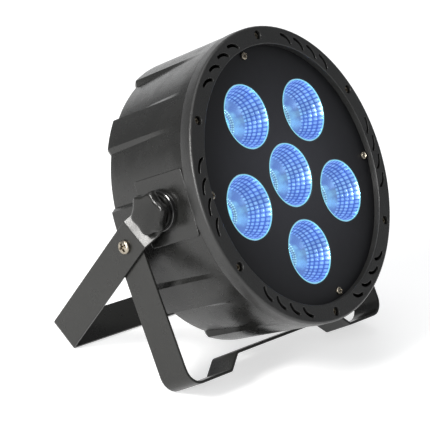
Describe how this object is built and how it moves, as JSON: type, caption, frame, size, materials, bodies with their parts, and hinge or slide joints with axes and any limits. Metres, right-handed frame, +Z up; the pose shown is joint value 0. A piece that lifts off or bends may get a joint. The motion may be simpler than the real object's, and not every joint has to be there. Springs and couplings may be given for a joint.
{
  "type": "par can light",
  "caption": "Flat round LED par light with reflector lamps behind a slotted bezel, on a strap yoke with a fold-out stand yoke and star knobs.",
  "frame": {"origin": "centre of the object's box, on the floor that it stands on", "axes": "+Z up, -Y is the lens side, +X to the right seen from the lens side; X runs along the tilt axis"},
  "size_m": [0.2498, 0.1888, 0.2354],
  "materials": {
    "housing_plastic": "satin moulded plastic",
    "bezel_plastic": "fine textured plastic",
    "panel_black": "satin black coated sheet",
    "strap_paint": "satin powder coat",
    "nickel": "satin nickel plate",
    "steel": "satin zinc plate",
    "knob_plastic": "gloss",
    "washer_plastic": "gloss",
    "reflector_metallised": "polished metallised plastic, lit blue",
    "led_emitter": "glowing",
    "circuit_board": "solder mask",
    "bare_aluminium": "satin",
    "cover_paint": "satin powder coat",
    "display_glass": "gloss",
    "button_plastic": "satin",
    "connector_plastic": "satin",
    "brass": "satin"
  },
  "bodies": {
    "main_yoke": {"main_yoke": "strap_paint", "stand_screw_left": "nickel", "stand_screw_right": "nickel"},
    "housing": {"housing": "housing_plastic", "front_bezel": "bezel_plastic", "bezel_screw_1": "nickel", "bezel_screw_2": "nickel", "bezel_screw_3": "nickel", "bezel_screw_4": "nickel", "bezel_screw_5": "nickel", "bezel_screw_6": "nickel", "front_panel": "panel_black", "panel_screw_1": "nickel", "panel_screw_2": "nickel", "panel_screw_3": "nickel", "panel_screw_4": "nickel", "reflector_1": "reflector_metallised", "reflector_2": "reflector_metallised", "reflector_3": "reflector_metallised", "reflector_4": "reflector_metallised", "reflector_5": "reflector_metallised", "reflector_6": "reflector_metallised", "led_cob_1": "led_emitter", "led_cob_2": "led_emitter", "led_cob_3": "led_emitter", "led_cob_4": "led_emitter", "led_cob_5": "led_emitter", "led_cob_6": "led_emitter", "led_board": "circuit_board", "heat_sink": "bare_aluminium", "rear_cover": "cover_paint", "rear_cover_screw_1": "nickel", "rear_cover_screw_2": "nickel", "rear_cover_screw_3": "nickel", "rear_cover_screw_4": "nickel", "power_supply": "steel", "control_board": "circuit_board", "display_window": "display_glass", "dmx_in": "connector_plastic", "dmx_out": "connector_plastic", "power_inlet": "connector_plastic", "fuse_holder": "connector_plastic", "safety_eye": "steel", "pivot_washer_left": "washer_plastic", "pivot_washer_right": "washer_plastic", "threaded_insert_left": "brass", "threaded_insert_right": "brass"},
    "stand_yoke": {"stand_yoke": "strap_paint", "stand_nut_left": "steel", "stand_nut_right": "steel"},
    "knob_stud_left": {"knob_stud_left": "steel"},
    "knob_left": {"knob_left": "knob_plastic"},
    "knob_stud_right": {"knob_stud_right": "steel"},
    "knob_right": {"knob_right": "knob_plastic"},
    "menu_button_1": {"menu_button_1": "button_plastic"},
    "menu_button_2": {"menu_button_2": "button_plastic"},
    "menu_button_3": {"menu_button_3": "button_plastic"},
    "menu_button_4": {"menu_button_4": "button_plastic"}
  },
  "joints": [
    {"name": "housing_tilt", "type": "hinge", "parent": "main_yoke", "child": "housing", "pos_m": [0, -0.00484, 0.12286], "axis": [1, 0, 0], "range_deg": [-4, 10]},
    {"name": "stand_swing", "type": "hinge", "parent": "main_yoke", "child": "stand_yoke", "pos_m": [0, 0.01115, 0.0924], "axis": [1, 0, 0], "range_deg": [0, 47]},
    {"name": "knob_left_thread", "type": "slide", "parent": "housing", "child": "knob_stud_left", "axis": [-1, 0, 0], "range_m": [0, 0.0028]},
    {"name": "knob_left_turn", "type": "hinge", "parent": "knob_stud_left", "child": "knob_left", "pos_m": [-0.12, -0.00484, 0.12286], "axis": [-1, 0, 0], "range_deg": [0, 900]},
    {"name": "knob_right_thread", "type": "slide", "parent": "housing", "child": "knob_stud_right", "axis": [1, 0, 0], "range_m": [0, 0.0028]},
    {"name": "knob_right_turn", "type": "hinge", "parent": "knob_stud_right", "child": "knob_right", "pos_m": [0.12, -0.00484, 0.12286], "axis": [1, 0, 0], "range_deg": [0, 900]},
    {"name": "menu_button_1_press", "type": "slide", "parent": "housing", "child": "menu_button_1", "axis": [0, -0.848, 0.5299], "range_m": [0, 0.001], "stiffness_N_per_m": 400},
    {"name": "menu_button_2_press", "type": "slide", "parent": "housing", "child": "menu_button_2", "axis": [0, -0.848, 0.5299], "range_m": [0, 0.001], "stiffness_N_per_m": 400},
    {"name": "menu_button_3_press", "type": "slide", "parent": "housing", "child": "menu_button_3", "axis": [0, -0.848, 0.5299], "range_m": [0, 0.001], "stiffness_N_per_m": 400},
    {"name": "menu_button_4_press", "type": "slide", "parent": "housing", "child": "menu_button_4", "axis": [0, -0.848, 0.5299], "range_m": [0, 0.001], "stiffness_N_per_m": 400}
  ],
  "couplings": [
    {"joint": "knob_left_turn", "follows": "knob_left_thread", "rad_per_m": 5026.5},
    {"joint": "knob_right_turn", "follows": "knob_right_thread", "rad_per_m": 5026.5}
  ]
}
